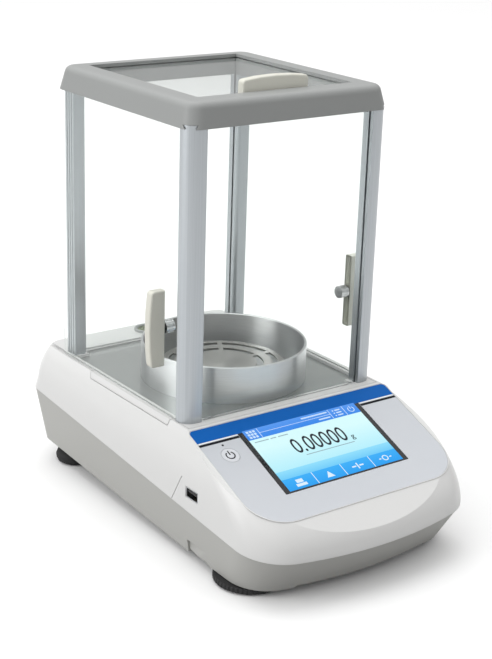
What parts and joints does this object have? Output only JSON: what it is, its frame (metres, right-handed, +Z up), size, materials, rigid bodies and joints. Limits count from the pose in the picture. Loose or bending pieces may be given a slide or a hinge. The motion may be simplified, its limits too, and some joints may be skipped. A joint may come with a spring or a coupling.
{
  "type": "analytical balance",
  "caption": "Bench-top analytical balance with a glass weighing chamber, sliding doors, draft ring round the pan, sloped touch display and levelling feet.",
  "frame": {"origin": "centre of the bounding box in plan, on the plane that the feet stand on", "axes": "+Z up; the display panel faces -Y; +X is the right side seen from the front"},
  "size_m": [0.206, 0.354, 0.3529],
  "materials": {
    "housing_plastic": "satin",
    "base_plastic": "satin",
    "frame_plastic": "satin",
    "grip_plastic": "satin",
    "overlay_film": "satin",
    "screen_glass": "gloss",
    "key_plastic": "satin",
    "light_lens": "gloss",
    "floor_steel": "brushed",
    "column_aluminium": "satin anodised",
    "clear_glass": "clear",
    "knob_metal": "polished",
    "ring_aluminium": "brushed",
    "pan_steel": "brushed",
    "cell_aluminium": "machined",
    "metal_parts": "plain",
    "level_clear": "clear",
    "foot_plastic": "matte",
    "foot_rubber": "matte",
    "port_plastic": "matte",
    "circuit_board": "solder mask"
  },
  "bodies": {
    "base": {"lower_housing": "base_plastic", "upper_housing": "housing_plastic", "chamber_deck": "housing_plastic", "floor_plate": "floor_steel", "control_overlay": "overlay_film", "touch_screen": "screen_glass", "display_module": "metal_parts", "display_board": "circuit_board", "key_board": "circuit_board", "status_light": "light_lens", "front_left_column": "column_aluminium", "rear_left_column": "column_aluminium", "front_right_column": "column_aluminium", "rear_right_column": "column_aluminium", "column_screws": "metal_parts", "top_frame": "frame_plastic", "front_glass": "clear_glass", "rear_glass": "clear_glass", "weighing_cell_block": "cell_aluminium", "cell_base_plate": "cell_aluminium", "lower_guide": "metal_parts", "upper_guide": "metal_parts", "level_cup": "frame_plastic", "level_vial": "level_clear", "left_rear_foot": "foot_rubber", "right_rear_foot": "foot_rubber", "usb_port_shell": "metal_parts", "usb_port_tongue": "port_plastic", "usb_board": "circuit_board", "connector_plate": "metal_parts", "serial_port": "metal_parts", "network_port": "metal_parts", "usb_device_port": "port_plastic", "power_inlet": "port_plastic", "main_board": "circuit_board"},
    "left_door": {"left_door_glass": "clear_glass", "left_door_grip": "grip_plastic", "left_door_knob": "knob_metal"},
    "right_door": {"right_door_glass": "clear_glass", "right_door_grip": "grip_plastic", "right_door_knob": "knob_metal"},
    "top_door": {"top_door_glass": "clear_glass", "top_door_grip": "grip_plastic", "top_door_knob": "knob_metal"},
    "power_button": {"power_key": "key_plastic"},
    "load_carrier": {"pan_carrier": "metal_parts", "load_receiver": "cell_aluminium"},
    "pan": {"weighing_pan": "pan_steel"},
    "draft_shield_ring": {"draft_ring": "ring_aluminium"},
    "left_pad": {"left_foot_pad": "foot_rubber"},
    "left_wheel": {"left_foot_wheel": "foot_plastic", "left_foot_stud": "metal_parts"},
    "right_pad": {"right_foot_pad": "foot_rubber"},
    "right_wheel": {"right_foot_wheel": "foot_plastic", "right_foot_stud": "metal_parts"},
    "lifter": {"adjustment_lifter": "port_plastic", "adjustment_weight": "pan_steel"}
  },
  "joints": [
    {"name": "left_door_slide", "type": "slide", "parent": "base", "child": "left_door", "axis": [0, 1, 0], "range_m": [0, 0.131]},
    {"name": "right_door_slide", "type": "slide", "parent": "base", "child": "right_door", "axis": [0, 1, 0], "range_m": [0, 0.131]},
    {"name": "top_door_slide", "type": "slide", "parent": "base", "child": "top_door", "axis": [0, 1, 0], "range_m": [0, 0.136]},
    {"name": "power_key_press", "type": "slide", "parent": "base", "child": "power_button", "axis": [0, 0.3665, -0.9304], "range_m": [0, 0.0005], "stiffness_N_per_m": 3000, "springref_m": -0.0001},
    {"name": "load_deflection", "type": "slide", "parent": "base", "child": "load_carrier", "axis": [0, 0, -1], "range_m": [0, 0.0005], "stiffness_N_per_m": 10000, "springref_m": -0.0004},
    {"name": "pan_lift_off", "type": "slide", "parent": "load_carrier", "child": "pan", "axis": [0, 0, 1], "range_m": [0, 0.03]},
    {"name": "draft_ring_lift_off", "type": "slide", "parent": "base", "child": "draft_shield_ring", "axis": [0, 0, 1], "range_m": [0, 0.025]},
    {"name": "adjustment_lift", "type": "slide", "parent": "base", "child": "lifter", "axis": [0, 0, -1], "range_m": [0, 0.003]},
    {"name": "left_foot_extend", "type": "slide", "parent": "base", "child": "left_pad", "axis": [0, 0, -1], "range_m": [0, 0.004]},
    {"name": "left_foot_turn", "type": "hinge", "parent": "left_pad", "child": "left_wheel", "pos_m": [-0.075, -0.1125, 0.0035], "axis": [0, 0, -1], "range_deg": [0, 1440]},
    {"name": "right_foot_extend", "type": "slide", "parent": "base", "child": "right_pad", "axis": [0, 0, -1], "range_m": [0, 0.004]},
    {"name": "right_foot_turn", "type": "hinge", "parent": "right_pad", "child": "right_wheel", "pos_m": [0.075, -0.1125, 0.0035], "axis": [0, 0, -1], "range_deg": [0, 1440]}
  ],
  "couplings": [
    {"joint": "left_foot_extend", "follows": "left_foot_turn", "m_per_rad": 0.00015915},
    {"joint": "right_foot_extend", "follows": "right_foot_turn", "m_per_rad": 0.00015915}
  ]
}
